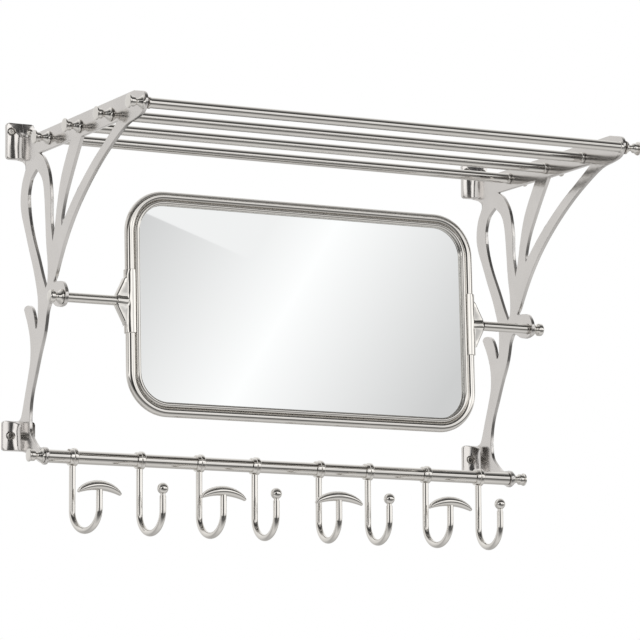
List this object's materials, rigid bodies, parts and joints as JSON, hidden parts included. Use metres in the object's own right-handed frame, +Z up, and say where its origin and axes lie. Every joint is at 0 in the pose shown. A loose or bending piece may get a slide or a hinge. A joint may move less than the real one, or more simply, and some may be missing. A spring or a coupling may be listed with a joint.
{
  "type": "mirror with hooks",
  "caption": "Wall rack: two cast openwork brackets carry rows of rails as a shelf, a swing mirror on trunnions and a rail of long U-shaped coat hooks below.",
  "frame": {"origin": "on the wall plane, midway between the two brackets, at the height of the bottom edge of the lower wall plates", "axes": "+X to the right along the wall as seen from the room, +Y into the wall, +Z up"},
  "size_m": [0.5996, 0.3348, 0.4495],
  "materials": {
    "web": "polished nickel plate, flat",
    "nickel": "polished nickel plate",
    "screw": "nickel plated screw",
    "glass": "silvered glass",
    "board": "plain dark backing board"
  },
  "bodies": {
    "rack": {"finial_left_1": "nickel", "finial_left_2": "nickel", "finial_left_3": "nickel", "finial_left_4": "nickel", "finial_right_1": "nickel", "finial_right_2": "nickel", "finial_right_3": "nickel", "finial_right_4": "nickel", "hook_1": "nickel", "hook_2": "nickel", "hook_3": "nickel", "hook_4": "nickel", "hook_5": "nickel", "hook_6": "nickel", "hook_7": "nickel", "hook_8": "nickel", "hook_ball_2": "nickel", "hook_ball_4": "nickel", "hook_ball_6": "nickel", "hook_ball_8": "nickel", "hook_cap_1": "nickel", "hook_cap_3": "nickel", "hook_cap_5": "nickel", "hook_cap_7": "nickel", "hook_collar_1": "nickel", "hook_collar_2": "nickel", "hook_collar_3": "nickel", "hook_collar_4": "nickel", "hook_collar_5": "nickel", "hook_collar_6": "nickel", "hook_collar_7": "nickel", "hook_collar_8": "nickel", "hook_rail": "nickel", "hook_rail_finial_left": "nickel", "hook_rail_finial_right": "nickel", "left_bracket": "web", "left_screw_lower_inner": "screw", "left_screw_lower_outer": "screw", "left_screw_upper_inner": "screw", "left_screw_upper_outer": "screw", "right_bracket": "web", "right_screw_lower_inner": "screw", "right_screw_lower_outer": "screw", "right_screw_upper_inner": "screw", "right_screw_upper_outer": "screw", "shelf_rail_1": "nickel", "shelf_rail_2": "nickel", "shelf_rail_3": "nickel", "shelf_rail_4": "nickel"},
    "mirror": {"mirror_back": "board", "mirror_bead": "nickel", "mirror_frame": "nickel", "mirror_glass": "glass", "mirror_saddle_left": "nickel", "mirror_saddle_right": "nickel", "trunnion_knob_left": "nickel", "trunnion_knob_right": "nickel", "trunnion_rod_left": "nickel", "trunnion_rod_right": "nickel"}
  },
  "joints": [
    {"name": "mirror_tilt", "type": "hinge", "parent": "rack", "child": "mirror", "pos_m": [0, -0.1225, 0.1499], "axis": [1, 0, 0], "range_deg": [-63, 67]}
  ]
}
